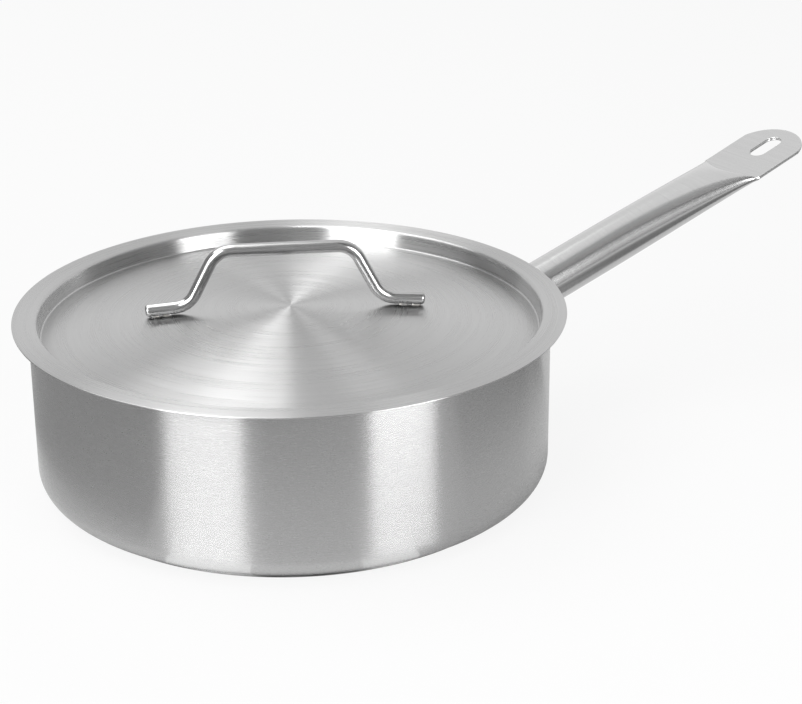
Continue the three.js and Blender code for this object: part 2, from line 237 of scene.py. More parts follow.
def studio_card(name, left, right, grey, line, glow=0.0):
    """A card bent round the pan between two azimuths, along (out, up); only gloss sees it."""
    mesh = bpy.data.meshes.new(name)
    turns = [left + (right - left) * i / CARD_STEPS for i in range(CARD_STEPS + 1)]
    points = [round_the_pan(turn, out, up) for turn in turns for out, up in line]
    rows = len(line)
    faces = []
    for i in range(CARD_STEPS):
        for j in range(rows - 1):
            at = i * rows + j
            faces.append((at, at + rows, at + rows + 1, at + 1))
    mesh.from_pydata(points, [], faces)
    card = bpy.data.objects.new(name, mesh)
    scene.collection.objects.link(card)
    card_finish = bpy.data.materials.new(name)
    card_finish.use_nodes = True
    shader = card_finish.node_tree.nodes["Principled BSDF"]
    shader.inputs["Base Color"].default_value = (grey, grey, grey, 1)
    shader.inputs["Roughness"].default_value = 1.0
    shader.inputs["Emission Color"].default_value = (1, 1, 1, 1)
    shader.inputs["Emission Strength"].default_value = glow
    mesh.materials.append(card_finish)
    card.visible_camera = False
    card.visible_diffuse = False
    card.visible_shadow = False


# %% Cards round the pan
FAR_LEFT = -135
PAST_HANDLE = 70
FAR_RIGHT = 113
CARDS_OUT = 2.5
CARDS_TOP = 2.2
BESIDE = [(CARDS_OUT, 0), (CARDS_OUT, CARDS_TOP), (1.3, 3.1)]
OVERHEAD = [(CARDS_OUT, 2.3), (1.6, 3.0), (0.5, 3.4)]


def standing(low, high):
    return [(CARDS_OUT, low), (CARDS_OUT, high)]


STANDING_CARDS = (
    ("front", LEFT_BOX[1], RIGHT_BOX[0], 0.6, BESIDE[:1] + OVERHEAD),
    ("left", FAR_LEFT, LEFT_BOX[0], 0.3, BESIDE),
    ("handle_low", RIGHT_BOX[1], PAST_HANDLE, 0.7, standing(0, 0.95)),
    ("handle_mid", RIGHT_BOX[1], PAST_HANDLE, 0.3, standing(0.95, CARDS_TOP)),
    ("right_low", PAST_HANDLE, FAR_RIGHT, 0.32, standing(0, 1.1)),
    ("right_mid", PAST_HANDLE, FAR_RIGHT, 0.7, standing(1.1, CARDS_TOP)),
    ("right_high", RIGHT_BOX[1], FAR_RIGHT, 0.7, BESIDE[1:]),
    ("over_left", *LEFT_BOX, 0.3, [(CARDS_OUT, 2.6)] + OVERHEAD[1:]),
    ("over_right", *RIGHT_BOX, 0.3, [(CARDS_OUT, 1.8)] + OVERHEAD),
)
for name, left, right, grey, line in STANDING_CARDS:
    studio_card(f"card_{name}", left, right, grey, line)
print("standing cards:", len(STANDING_CARDS))

# %% Cards on the floor
FLOOR_SPLIT = -40
UNDER_HANDLE = 93
FLOOR_CARD_UP = 0.004
HANDLE_CARD_UP = 0.005
SHADE_UP = 0.0004
RING_SPLIT = -30.5
RING_UP = 0.0005
RING_GREY = 0.6


def lying(inner, outer, up):
    return [(inner, up), (outer, up)]


FLOOR_CARDS = (
    ("left", FAR_LEFT, FLOOR_SPLIT, 0.32, lying(0.148, CARDS_OUT, FLOOR_CARD_UP)),
    ("front", FLOOR_SPLIT, RIGHT_BOX[1], 0.3, lying(0.23, CARDS_OUT, FLOOR_CARD_UP)),
    ("right", RIGHT_BOX[1], FAR_RIGHT, 0.26, lying(0.21, 0.45, FLOOR_CARD_UP)),
    ("right_far", RIGHT_BOX[1], FAR_RIGHT, 0.5, lying(0.45, CARDS_OUT, FLOOR_CARD_UP)),
    ("handle", UNDER_HANDLE, FAR_RIGHT, 0.18, lying(0.27, 0.42, HANDLE_CARD_UP)),
    # Painted shadow: a dark ring under the pan's corner, where the floor lies in the pan's own shade.
    ("shade", FAR_LEFT, FAR_RIGHT, 0.15, lying(0.1105, 0.1165, SHADE_UP)),
)
# Painted reflection: each part of the pale ring glows, though it is no lamp, so that the pan's corner
# mirrors a brighter strip.
RING_PAINTED_GLOWS = (
    ("far_left", FAR_LEFT, RING_SPLIT, 0.15),
    ("left", RING_SPLIT, LEFT_BOX[1] / 2, 0.7),
    ("front", LEFT_BOX[1] / 2, RIGHT_BOX[0] / 2, 0.3),
    ("right", RIGHT_BOX[0] / 2, RIGHT_BOX[1] / 2, 0.6),
    ("far_right", RIGHT_BOX[1] / 2, FAR_RIGHT, 0.02),
)
RING_LINE = lying(0.117, 0.136, RING_UP)
for name, left, right, grey, line in FLOOR_CARDS:
    studio_card(f"card_floor_{name}", left, right, grey, line)
for name, left, right, glow in RING_PAINTED_GLOWS:
    studio_card(f"card_floor_painted_glow_{name}", left, right, RING_GREY, RING_LINE, glow)
print("floor cards:", len(FLOOR_CARDS), "and a ring of", len(RING_PAINTED_GLOWS), "parts")

# %% [markdown]
# ## Spun sheet metal
#
# The pan, the lid and the base cup are all discs of sheet that were drawn or spun round an axis.
# A subdivided cylinder could stand for them, but then the sheet would have no thickness.
# Instead the middle line of the sheet is drawn as a few corners with rounding radii,
# thickened to both sides, closed with a round free edge, and turned about the axis.

# %% Sections of sheet
BEND_STEPS = 10
EDGE_STEPS = 6
LONGEST_STEP = 4 * MM


def rounded(corners):
    """Points along a line through corners (x, y, rounding radius), with each bend an arc."""
    line = [Vector(corners[0][:2])]
    for before, at, after in zip(corners, corners[1:], corners[2:]):
        here, radius = Vector(at[:2]), at[2]
        back = (Vector(before[:2]) - here).normalized()
        ahead = (Vector(after[:2]) - here).normalized()
        half = back.angle(ahead) / 2
        reach = radius / math.tan(half)
        middle = here + (back + ahead).normalized() * math.hypot(reach, radius)
        spoke = here + back * reach - middle
        turn = (math.pi - 2 * half) * (1 if back.cross(ahead) < 0 else -1)
        for i in range(BEND_STEPS + 1):
            swing = Matrix.Rotation(turn * i / BEND_STEPS, 2)
            line.append(middle + swing @ spoke)
    return line + [Vector(corners[-1][:2])]


def stepped(line, longest=LONGEST_STEP):
    """The same line, with long straight stretches cut into steps."""
    points = [line[0]]
    for near, far in zip(line, line[1:]):
        count = max(1, math.ceil((far - near).length / longest))
        points += [near.lerp(far, (i + 1) / count) for i in range(count)]
    return points


def left_of(line, i):
    """The direction square to a line at its point i, on the left of the way it runs."""
    along = line[min(i + 1, len(line) - 1)] - line[max(i - 1, 0)]
    return Vector((-along.y, along.x)).normalized()


def sheet_section(line, thickness):
    """Both faces of a sheet along its middle line, joined by a round free edge at the end."""
    lefts = [left_of(line, i) for i in range(len(line))]
    half = thickness / 2
    right_face = [point - left * half for point, left in zip(line, lefts)]
    left_face = [point + left * half for point, left in zip(line, lefts)]
    ahead = Vector((lefts[-1].y, -lefts[-1].x))
    edge = []
    for i in range(1, 2 * EDGE_STEPS):
        turn = math.pi * i / (2 * EDGE_STEPS)
        edge.append(line[-1] + (ahead * math.sin(turn) - lefts[-1] * math.cos(turn)) * half)
    return right_face + edge + left_face[::-1]


# %% Skins over rings
ON_AXIS = 1e-6
WELD_REACH = 1e-6
SPUN_SIDES = 288


class Skin:
    """A mesh in the making: rings of points, joined by bands of faces."""

    def __init__(self):
        self.bm = bmesh.new()
        self.place = self.bm.verts.layers.float_vector.new("brush_place")
        self.way = self.bm.verts.layers.float_vector.new("brush_way")

    def ring(self, points, places=None, way=None):
        verts = [self.bm.verts.new(point) for point in points]
        for i, vert in enumerate(verts):
            if places:
                vert[self.place] = places[i]
            if way:
                vert[self.way] = way
        return verts

    def band(self, near, far, closed=True):
        count = max(len(near), len(far))
        for i in range(count if closed else count - 1):
            j = (i + 1) % count
            loop = [near[i % len(near)], near[j % len(near)], far[j % len(far)], far[i % len(far)]]
            self.bm.faces.new(list(dict.fromkeys(loop)))

    def bands(self, rings):
        for near, far in zip(rings, rings[1:]):
            self.band(near, far)

    def piece(self, name):
        bmesh.ops.remove_doubles(self.bm, verts=self.bm.verts, dist=WELD_REACH)
        bmesh.ops.recalc_face_normals(self.bm, faces=self.bm.faces)
        mesh = bpy.data.meshes.new(name)
        self.bm.to_mesh(mesh)
        self.bm.free()
        mesh.shade_smooth()
        piece = bpy.data.objects.new(name, mesh)
        scene.collection.objects.link(piece)
        return piece


def round_turns(count):
    return [2 * math.pi * i / count for i in range(count)]


def spun(name, section):
    """A section turned about the pan's axis; a point on the axis stays one point."""
    skin = Skin()
    rings = []
    for radius, up in section:
        if radius < ON_AXIS:
            rings.append(skin.ring([(0, 0, up)]))
            continue
        turns = round_turns(SPUN_SIDES)
        rings.append(skin.ring([(radius * math.cos(t), radius * math.sin(t), up) for t in turns]))
    skin.bands(rings)
    return skin.piece(name)


def dress(piece, body, slot, finish, *nodes):
    """A finished piece on its body, in place of its CAD nodes."""
    piece.data.materials.append(finish)
    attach(piece, body)
    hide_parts(*nodes)
    size = [round(x / MM, 1) for x in piece.dimensions]
    print(f"{piece.name}: {len(piece.data.polygons)} faces, {size} mm, for {', '.join(nodes)}")


# %% [markdown]
# ## Finishes
#
# Every finish here is bare metal. Noise drives its grey, its roughness and its fine dents, mostly
# one noise for all three, so that a scratch shows in each of them as it does on the real thing.
# On worked steel the noise is stretched the way the tool ran. A picture of scratches would do too,
# but it would have to be laid out on every mesh.
# Noise keeps near the middle of its range, so only that part of it is spread over the finish.

# %% Parts of a finish
NOISE_LOW = 0.3
NOISE_HIGH = 0.7


def new_finish(name):
    finish = bpy.data.materials.new(name)
    finish.use_nodes = True
    shader = finish.node_tree.nodes["Principled BSDF"]
    shader.inputs["Metallic"].default_value = 1.0
    print("finish:", name)
    return finish, finish.node_tree, shader


def plug(tree, shader, sockets):
    """Links inputs of a shader, by name, each to another node's socket."""
    for name, socket in sockets.items():
        tree.links.new(socket, shader.inputs[name])


def vector(tree, operation, *inputs):
    return wire(tree, "ShaderNodeVectorMath", dict(enumerate(inputs)), operation=operation).outputs[0]


def noise(tree, **inputs):
    """A noise value; the inputs are the texture's own, such as Vector, Scale and Detail."""
    return wire(tree, "ShaderNodeTexNoise", inputs).outputs[0]


def dents(tree, height, depth, strength=1.0):
    """A normal that follows a height, with dents of a depth."""
    inputs = {"Strength": strength, "Distance": depth, "Height": height}
    return wire(tree, "ShaderNodeBump", inputs).outputs[0]


def between(tree, value, low, high):
    """A noise value spread between a low and a high number."""
    inputs = {"Value": value, "From Min": NOISE_LOW, "From Max": NOISE_HIGH}
    inputs.update({"To Min": low, "To Max": high})
    return wire(tree, "ShaderNodeMapRange", inputs).outputs[0]


def tinted(tree, value, tints):
    """A colour that follows a noise value through tints, each at its position."""
    ramp = wire(tree, "ShaderNodeValToRGB", {"Fac": value})
    elements = ramp.color_ramp.elements
    for position, _ in tints[1:-1]:
        elements.new(position)
    for element, (position, colour) in zip(elements, tints):
        element.position = position
        element.color = (*colour, 1)
    return ramp.outputs["Color"]


def grey_between(tree, value, dark, light):
    """A neutral steel colour that follows a noise value."""
    return tinted(tree, value, [(NOISE_LOW, (dark,) * 3), (NOISE_HIGH, (light,) * 3)])


# %% [markdown]
# ### Spun steel
#
# Steel that is polished while it spins carries fine scratches that all run round the axis.
# They spread each reflection across the scratches, and leave it sharp along them: that gives
# the upright bands on the wall and the bright wedge on the lid.
# The shader's anisotropy does the spread, with a tangent that runs round the axis, turned a quarter.
# The scratches themselves are noise, stretched far round the axis and packed tight across it.

# %% Spun finish
QUARTER_TURN = 0.25
BROAD_SCRATCH = 2.4 * MM
BROAD_LENGTH = 3


def spun_scratches(tree, width, strokes):
    """Noise in lines of a width across the axis, with a number of strokes to a turn."""
    place = wire(tree, "ShaderNodeTexCoord").outputs["Object"]
    flat = vector(tree, "MULTIPLY", place, (1, 1, 0))
    out = wire(tree, "ShaderNodeVectorMath", {0: flat}, operation="LENGTH").outputs["Value"]
    up = wire(tree, "ShaderNodeSeparateXYZ", {0: place}).outputs["Z"]
    travel = number(tree, "MULTIPLY", number(tree, "ADD", out, up), 1 / width)
    across = wire(tree, "ShaderNodeCombineXYZ", {"Z": travel}).outputs[0]
    reach = strokes / (2 * math.pi)
    lines = vector(tree, "MULTIPLY_ADD", vector(tree, "NORMALIZE", flat), (reach, reach, 0), across)
    return noise(tree, Vector=lines, Scale=1.0, Detail=3.0, Roughness=0.6)


def spun_steel(name, greys, roughness, groove, scratch, strokes, broad_share):
    """Steel with fine grooves and a share of broad streaks, all round the axis."""
    finish, tree, shader = new_finish(name)
    fine = spun_scratches(tree, scratch, strokes)
    broad = spun_scratches(tree, BROAD_SCRATCH, strokes / BROAD_LENGTH)
    fine_part = number(tree, "MULTIPLY", fine, 1 - broad_share)
    broad_part = number(tree, "MULTIPLY", broad, broad_share)
    both = number(tree, "ADD", fine_part, broad_part)
    plug(tree, shader, {
        "Base Color": grey_between(tree, both, *greys),
        "Roughness": between(tree, both, *roughness),
        "Normal": dents(tree, fine, groove),
        "Tangent": wire(tree, "ShaderNodeTangent", direction_type="RADIAL", axis="Z").outputs[0],
    })
    shader.inputs["Anisotropic"].default_value = 1.0
    shader.inputs["Anisotropic Rotation"].default_value = QUARTER_TURN
    return finish


pan_steel = spun_steel(
    "pan_steel",
    greys=(0.43, 0.47),
    roughness=(0.262, 0.278),
    groove=0.003 * MM,
    scratch=0.26 * MM,
    strokes=220,
    broad_share=0.15,
)

# %% [markdown]
# ## The pan shell
#
# One sheet, drawn into a straight-sided cup with a round corner at its floor.
# Its radius and heights come from the CAD box, so only the sheet and its bend are set here.

# %% Pan shell
PAN_SHEET = 1.0 * MM
PAN_CORNER = 10 * MM
pan_low, pan_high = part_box("pan_body")
PAN_RADIUS = pan_high.x
PAN_RIM = pan_high.z


def pan_shell():
    floor = pan_low.z + PAN_SHEET / 2
    wall = PAN_RADIUS - PAN_SHEET / 2
    line = rounded([
        (0, floor, 0),
        (wall, floor, PAN_CORNER - PAN_SHEET / 2),
        (wall, PAN_RIM - PAN_SHEET / 2, 0),
    ])
    return spun("pan_shell", sheet_section(stepped(line), PAN_SHEET))


dress(pan_shell(), "pan", "pan_steel", pan_steel, "pan_body")

# %% [markdown]
# ## The sandwich base
#
# Under the floor sits a disc of aluminium, closed in by a shallow steel cup.
# Only the cup shows, as a dark step under the corner, so the core keeps its CAD mesh
# and just gets a dull cast finish. The cup is spun steel like the pan, but its grey is painted
# darker, as painted shade under the corner. The cup reaches up to the floor, where it is brazed on.

# %% Base cup and core
CUP_SHEET = 0.6 * MM
CUP_CORNER = 1.5 * MM
cup_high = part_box("base_cap")[1]


def base_cup():
    floor = CUP_SHEET / 2
    wall = cup_high.x - CUP_SHEET / 2
    line = rounded([(0, floor, 0), (wall, floor, CUP_CORNER - CUP_SHEET / 2), (wall, pan_low.z, 0)])
    return spun("base_cup", sheet_section(stepped(line), CUP_SHEET))


def dull_aluminium():
    finish, tree, shader = new_finish("core_aluminium")
    grain = noise(tree, Scale=900.0, Detail=4.0)
    plug(tree, shader, {
        "Base Color": grey_between(tree, grain, dark=0.60, light=0.72),
        "Roughness": between(tree, grain, low=0.42, high=0.58),
        "Normal": dents(tree, grain, depth=0.05 * MM, strength=0.4),
    })
    return finish


# Spun steel like the pan's, with its grey painted darker as shade under the pan's corner.
base_steel = spun_steel(
    "base_steel",
    greys=(0.30, 0.40),
    roughness=(0.34, 0.46),
    groove=0.008 * MM,
    scratch=0.30 * MM,
    strokes=16,
    broad_share=0.3,
)
dress(base_cup(), "pan", "base_steel", base_steel, "base_cap")
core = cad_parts["base_core"]
core.data.materials.clear()
core.data.materials.append(dull_aluminium())
print("the core keeps its CAD mesh:", core.name)

# %% [markdown]
# ## The lid
#
# The lid is one pressed sheet. A flat flange lies over the rim, a short wall plugs the mouth,
# and the middle is a very shallow dome. The dome is part of a sphere, so it is drawn as an arc
# and not as a flat disc: the small lean of its surface moves the reflections on it a long way.

# %% Lid
LID_SHEET = 0.7 * MM
LID_SEAT = 0.3 * MM
LID_PLAY = 2.4 * MM
LID_RECESS = 8.5 * MM
LID_DRAFT = 1.0 * MM
LID_CREST = 1.4 * MM
LID_FILLET = 1.2 * MM
DOME_RISE = 9.2 * MM
DOME_STEPS = 40
BEND_CLEAR = 0.5 * MM
lid_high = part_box("lid_shell")[1]
FLANGE_MID = PAN_RIM + LID_SEAT + LID_SHEET / 2
PLUG_RADIUS = PAN_RADIUS - PAN_SHEET - LID_PLAY - LID_SHEET / 2
DOME_EDGE = PLUG_RADIUS - LID_DRAFT
DOME_FOOT = FLANGE_MID - LID_RECESS
DOME_RADIUS = (DOME_EDGE**2 + DOME_RISE**2) / (2 * DOME_RISE)
DOME_MIDDLE = DOME_FOOT + DOME_RISE - DOME_RADIUS


def over_dome(out, raised):
    """A point (out, up) over the dome, raised square to the middle of its sheet."""
    lean = math.asin(out / DOME_RADIUS)
    reach = DOME_RADIUS + raised
    return Vector((reach * math.sin(lean), DOME_MIDDLE + reach * math.cos(lean)))


def lid_sheet():
    dome = [over_dome(DOME_EDGE * i / DOME_STEPS, 0) for i in range(DOME_STEPS)]
    bends = rounded([
        (*dome[-1], 0),
        (DOME_EDGE, DOME_FOOT, LID_FILLET),
        (PLUG_RADIUS, FLANGE_MID, LID_CREST),
        (lid_high.x - LID_SHEET / 2, FLANGE_MID, 0),
    ])
    fillet_start = bends[1].x
    line = [point for point in dome if point.x < fillet_start - BEND_CLEAR] + bends[1:]
    return spun("lid_sheet", sheet_section(stepped(line), LID_SHEET))


lid_steel = spun_steel(
    "lid_steel",
    greys=(0.43, 0.52),
    roughness=(0.25, 0.32),
    groove=0.006 * MM,
    scratch=0.26 * MM,
    strokes=14,
    broad_share=0.5,
)
dress(lid_sheet(), "lid", "lid_steel", lid_steel, "lid_shell")

# %% [markdown]
# ## The rod grip
#
# A round rod, bent four times in one upright plane. A curve with a round bevel would make it too,
# but a skin over rings lets the cut ends be broken by a small round edge, as they are on the rod.
# The feet lean a little, because they follow the dome that they are welded to.

# %% Line of the rod
ROD_RADIUS = 3.0 * MM
ROD_SPAN = 129.6 * MM
ROD_FOOT = 20.3 * MM
ROD_BAR = 62.8 * MM
ROD_RISE = 26.1 * MM
ROD_BEND = 11.5 * MM
ROD_OFFSET = -2.2 * MM
ROD_TURN = math.radians(-29.2)
ROD_STEP = 2 * MM
FOOT_OUT = (ROD_SPAN - ROD_FOOT) / 2
FOOT_LEAN = math.asin(FOOT_OUT / DOME_RADIUS)
FOOT_MIDDLE = over_dome(FOOT_OUT, LID_SHEET / 2 + LID_SEAT + ROD_RADIUS)
FOOT_ALONG = Vector((math.cos(FOOT_LEAN), -math.sin(FOOT_LEAN)))


def rod_place():
    """Turns the rod's upright plane about the pan's axis and slides it over the dome."""
    to_middle = Matrix.Translation((0, 0, DOME_MIDDLE))
    slid = to_middle @ Matrix.Rotation(ROD_OFFSET / DOME_RADIUS, 4, "Y") @ to_middle.inverted()
    return Matrix.Rotation(ROD_TURN, 4, "Z") @ slid


def rod_line():
    end = FOOT_MIDDLE + FOOT_ALONG * ROD_FOOT / 2
    bend = FOOT_MIDDLE - FOOT_ALONG * ROD_FOOT / 2
    top = bend.y + ROD_RISE
    return stepped(rounded([
        (-end.x, end.y, 0),
        (-bend.x, bend.y, ROD_BEND),
        (-ROD_BAR / 2, top, ROD_BEND),
        (ROD_BAR / 2, top, ROD_BEND),
        (bend.x, bend.y, ROD_BEND),
        (end.x, end.y, 0),
    ]), ROD_STEP)


rod_path = rod_line()
rod_reach = (rod_path[-1] - rod_path[0]).length
print("rod:", len(rod_path), "stations,", round(rod_reach / MM, 1), "mm from end to end")

# %% Skin of the rod
ROD_EDGE = 1.5 * MM
ROD_SIDES = 40
ROD_END_SHARE = 0.6


def edge_turn(k):
    """The angle after k of the steps round an edge's quarter."""
    return math.pi / 2 * k / EDGE_STEPS


def grip_rod(line):
    skin = Skin()
    upright = rod_place()

    def ring(point, left, radius, travel):
        turns = round_turns(ROD_SIDES)
        spokes = [left * math.cos(t) * radius for t in turns]
        sides = [math.sin(t) * radius for t in turns]
        points = [
            upright @ Vector((point.x + spoke.x, side, point.y + spoke.y))
            for spoke, side in zip(spokes, sides)
        ]
        places = [(travel, ROD_RADIUS * math.cos(t), ROD_RADIUS * math.sin(t)) for t in turns]
        return skin.ring(points, places)

    def broken_edge(i, outward):
        """Rings from the middle of a cut end, out over its round edge."""
        left = left_of(line, i)
        face = outward * ROD_EDGE
        rings = [skin.ring([upright @ Vector((line[i].x, 0, line[i].y))])]
        rings.append(ring(line[i], left, (ROD_RADIUS - ROD_EDGE) * ROD_END_SHARE, 0))
        for k in range(EDGE_STEPS + 1):
            turn = edge_turn(k)
            radius = ROD_RADIUS - ROD_EDGE * (1 - math.sin(turn))
            rings.append(ring(line[i] - face * (1 - math.cos(turn)), left, radius, 0))
        return rings

    start = (line[0] - line[1]).normalized()
    end = (line[-1] - line[-2]).normalized()
    travel = 0.0
    rings = broken_edge(0, start)
    for i in range(1, len(line) - 1):
        travel += (line[i] - line[i - 1]).length
        rings.append(ring(line[i], left_of(line, i), ROD_RADIUS, travel))
    rings += broken_edge(len(line) - 1, end)[::-1]
    skin.bands(rings)
    return skin.piece("grip_rod")


# %% [markdown]
# ### Polished rod
#
# The rod was drawn through a die and then buffed: it is nearly a mirror, with faint lines along it.
# Its skin keeps each point's place along and round the rod, so that the lines follow the bends.

# %% Rod finish
DRAWN_LINES = (60, 2500, 2500)


def kept(tree, name):
    """What a skin keeps on its points under a name."""
    return wire(tree, "ShaderNodeAttribute", attribute_name=name).outputs["Vector"]


def polished_rod():
    finish, tree, shader = new_finish("grip_steel")
    lines = vector(tree, "MULTIPLY", kept(tree, "brush_place"), DRAWN_LINES)
    drawn = noise(tree, Vector=lines, Scale=1.0, Detail=3.0)
    plug(tree, shader, {
        "Base Color": grey_between(tree, drawn, dark=0.40, light=0.48),
        "Roughness": between(tree, drawn, low=0.14, high=0.22),
        "Normal": dents(tree, drawn, depth=0.004 * MM),
    })
    return finish


dress(grip_rod(rod_path), "lid", "grip_steel", polished_rod(), "lid_grip")

# %% [markdown]
# ## The tube handle
#
# The handle is a round tube, pressed flat towards its end, where a slot goes through both walls.
# A cylinder squeezed by a lattice would crush its folded edges, so the section is worked out
# at each station instead: an ellipse grown by the radius of the folded edge.
# Where the tube is round that is a circle, and where it is flat it is a slab with round edges.
# What is left of the round falls slowly at first and dives just before the crease, as in a tube
# that a tool shuts on. So the stations are packed towards the crease, where that curve is steep.

# %% Sections of the pressed tube
TUBE_RADIUS = 12.1 * MM
TUBE_SHEET = 0.9 * MM
TUBE_TILT = math.radians(15.7)
TUBE_LENGTH = 164.7 * MM
TUBE_DROP = 28.6 * MM
PRESS_LENGTH = 92 * MM
PRESS_POWER = 1.5
PRESS_ROUND = 0.27
PRESS_WIDTH_POWER = 1.58
PRESS_BOW_POWER = 3.5
TAB_HALF = 20.2 * MM
TAB_TILT = math.radians(18.1)
TAB_STRAIGHT = 30.6 * MM
TAB_END_RISE = 14.3 * MM
CREASE_BOW = 6 * MM
CREASE_DEPTH = 0.16 * MM
FLAT_STEPS = 24
ROUND_STEPS = 60
TUBE_ROOT = Vector((PAN_RADIUS, 0, PAN_RIM - TUBE_DROP))
ACROSS = Vector((0, 1, 0))


def tilted(angle):
    """The directions along and above something that rises by an angle as it runs out."""
    along = Vector((math.cos(angle), 0, math.sin(angle)))
    return along, Vector((-along.z, 0, along.x))


TUBE_END = TUBE_ROOT + tilted(TUBE_TILT)[0] * TUBE_LENGTH


def quarter_oval(width, height):
    """From the side to the top of a section, as an ellipse grown by the folded edge."""
    out, up = width - TUBE_SHEET, height - TUBE_SHEET
    turns = [math.pi / 2 * i / ROUND_STEPS for i in range(ROUND_STEPS + 1)]
    pairs = [(math.atan2(up * math.sin(t), out * math.cos(t)), t) for t in turns]
    pairs += [(t, math.atan2(out * math.sin(t), up * math.cos(t))) for t in turns]
    return [
        Vector((
            out * math.cos(at) + TUBE_SHEET * math.cos(facing),
            up * math.sin(at) + TUBE_SHEET * math.sin(facing),
        ))
        for at, facing in sorted(pairs)
    ]


def shared_out(line, shares):
    """Points on a line at shares of its length."""
    reached = [0.0]
    for near, far in zip(line, line[1:]):
        reached.append(reached[-1] + (far - near).length)
    points = []
    k = 0
    for share in shares:
        goal = share * reached[-1]
        while k < len(line) - 2 and reached[k + 1] < goal:
            k += 1
        step = reached[k + 1] - reached[k]
        points.append(line[k].lerp(line[k + 1], (goal - reached[k]) / step if step > 0 else 0))
    return points


FOLD_LENGTH = math.pi / 2 * TUBE_SHEET
FOLD_SHARE = FOLD_LENGTH / (FOLD_LENGTH + TAB_HALF - TUBE_SHEET)
SHARES = [FOLD_SHARE * i / EDGE_STEPS for i in range(EDGE_STEPS)]
SHARES += [FOLD_SHARE + (1 - FOLD_SHARE) * i / FLAT_STEPS for i in range(FLAT_STEPS + 1)]


def oval(width, height):
    """A whole section: from the side over the top, round the other side and back underneath."""
    quarter = shared_out(quarter_oval(width, height), SHARES)
    over = quarter + [Vector((-p.x, p.y)) for p in quarter[-2::-1]]
    return over + [Vector((p.x, -p.y)) for p in over[-2:0:-1]]


print("points to a section:", len(oval(TUBE_RADIUS, TUBE_RADIUS)))

# %% Tube and crease
COPE_AWAY = 1.9 * MM
COPE_RADIUS = PAN_RADIUS + COPE_AWAY
CREASE_FADE = 6
STRAIGHT_RINGS = 10
PRESS_RINGS = 64


def coped_ring(skin):
    """The tube's root, cut to the round of the wall."""
    along, above = tilted(TUBE_TILT)
    points = []
    for p in oval(TUBE_RADIUS, TUBE_RADIUS):
        out = math.sqrt(COPE_RADIUS**2 - p.x**2)
        station = (out - TUBE_ROOT.x + p.y * math.sin(TUBE_TILT)) / math.cos(TUBE_TILT)
        points.append(TUBE_ROOT + along * station + ACROSS * p.x + above * p.y)
    return skin.ring(points, [(0, p.y, p.z) for p in points], along)


def inward(across, width):
    """One in the middle of a pressed section, falling to nought at its folds."""
    return max(0.0, 1 - (across / (width - TUBE_SHEET)) ** 2)


def crease_sink(share):
    """How far the press tool's edge sank into the wall, from none at the folds."""
    return CREASE_DEPTH * min(1.0, CREASE_FADE * share)


def tube_ring(skin, station, pressed):
    """One section of the tube, a share of the way into the press."""
    left = (1 - pressed**PRESS_POWER) ** PRESS_ROUND
    height = TUBE_SHEET + (TUBE_RADIUS - TUBE_SHEET) * left
    width = TAB_HALF + (TUBE_RADIUS - TAB_HALF) * left**PRESS_WIDTH_POWER
    bow = CREASE_BOW * pressed**PRESS_BOW_POWER
    lean = TUBE_TILT + (TAB_TILT - TUBE_TILT) * pressed**PRESS_BOW_POWER
    along, above = tilted(lean)
    middle = TUBE_ROOT + tilted(TUBE_TILT)[0] * station
    section = oval(width, height)
    points = []
    for p in section:
        share = inward(p.x, width)
        up = p.y - math.copysign(crease_sink(share), p.y) if pressed >= 1 else p.y
        points.append(middle - along * bow * share + ACROSS * p.x + above * up)
    return skin.ring(points, [(station, p.x, p.y) for p in section], along)


def tube_rings(skin):
    start = TUBE_LENGTH - PRESS_LENGTH
    rings = [coped_ring(skin)]
    for i in range(1, STRAIGHT_RINGS + 1):
        station = TUBE_RADIUS + (start - TUBE_RADIUS) * i / STRAIGHT_RINGS
        rings.append(tube_ring(skin, station, 0))
    for i in range(1, PRESS_RINGS + 1):
        pressed = 1 - (1 - i / PRESS_RINGS) ** (1 / PRESS_ROUND)
        rings.append(tube_ring(skin, start + pressed * PRESS_LENGTH, pressed))
    return rings


print("tab starts at", [round(x / MM, 1) for x in TUBE_END], "mm")

# %% [markdown]
# ### The tab
#
# The tab is flat, so any triangles would do for its faces, but its rims want clean rounding.
# Each face is made of loops that run from the outline in to the slot, all with the same count.
# The two walls of the tube lie face to face here, so a fine seam shows on the cut end
# and inside the slot, while the long sides are folds and show none.

# %% Outline and slot of the tab
SLOT_FROM_CREASE = 26.4 * MM
SLOT_LENGTH = 20 * MM
SLOT_WIDTH = 9.6 * MM
ALONG_SLOT = 1e-9
TAB_CORNER = 4 * MM
SIDE_STEPS = 14
CORNER_STEPS = 4
END_STEPS = 30


def tab_place(along_tab, across, above_tab):
    along, above = tilted(TAB_TILT)
    return TUBE_END + along * along_tab + ACROSS * across + above * above_tab


def tab_outline():
    """The tab's side, end and other side as (along, across, facing, cut), from -Y round to +Y."""
    end_radius = (TAB_HALF**2 + TAB_END_RISE**2) / (2 * TAB_END_RISE)
    end_middle = TAB_STRAIGHT + TAB_END_RISE - end_radius
    inner = TAB_HALF - TAB_CORNER
    corner = end_middle + math.sqrt((end_radius - TAB_CORNER) ** 2 - inner**2)
    facing_end = math.atan2(inner, corner - end_middle)
    half = []
    for i in range(SIDE_STEPS):
        half.append((corner * i / SIDE_STEPS, TAB_HALF, math.pi / 2, 0.0))
    for i in range(CORNER_STEPS):
        turn = math.pi / 2 + (facing_end - math.pi / 2) * i / CORNER_STEPS
        along = corner + TAB_CORNER * math.cos(turn)
        half.append((along, inner + TAB_CORNER * math.sin(turn), turn, i / CORNER_STEPS))
    for i in range(END_STEPS // 2 + 1):
        turn = facing_end * (1 - 2 * i / END_STEPS)
        half.append((end_middle + end_radius * math.cos(turn), end_radius * math.sin(turn), turn, 1.0))
    mirrored = [(along, -across, -facing, cut) for along, across, facing, cut in half]
    return mirrored + half[-2::-1]


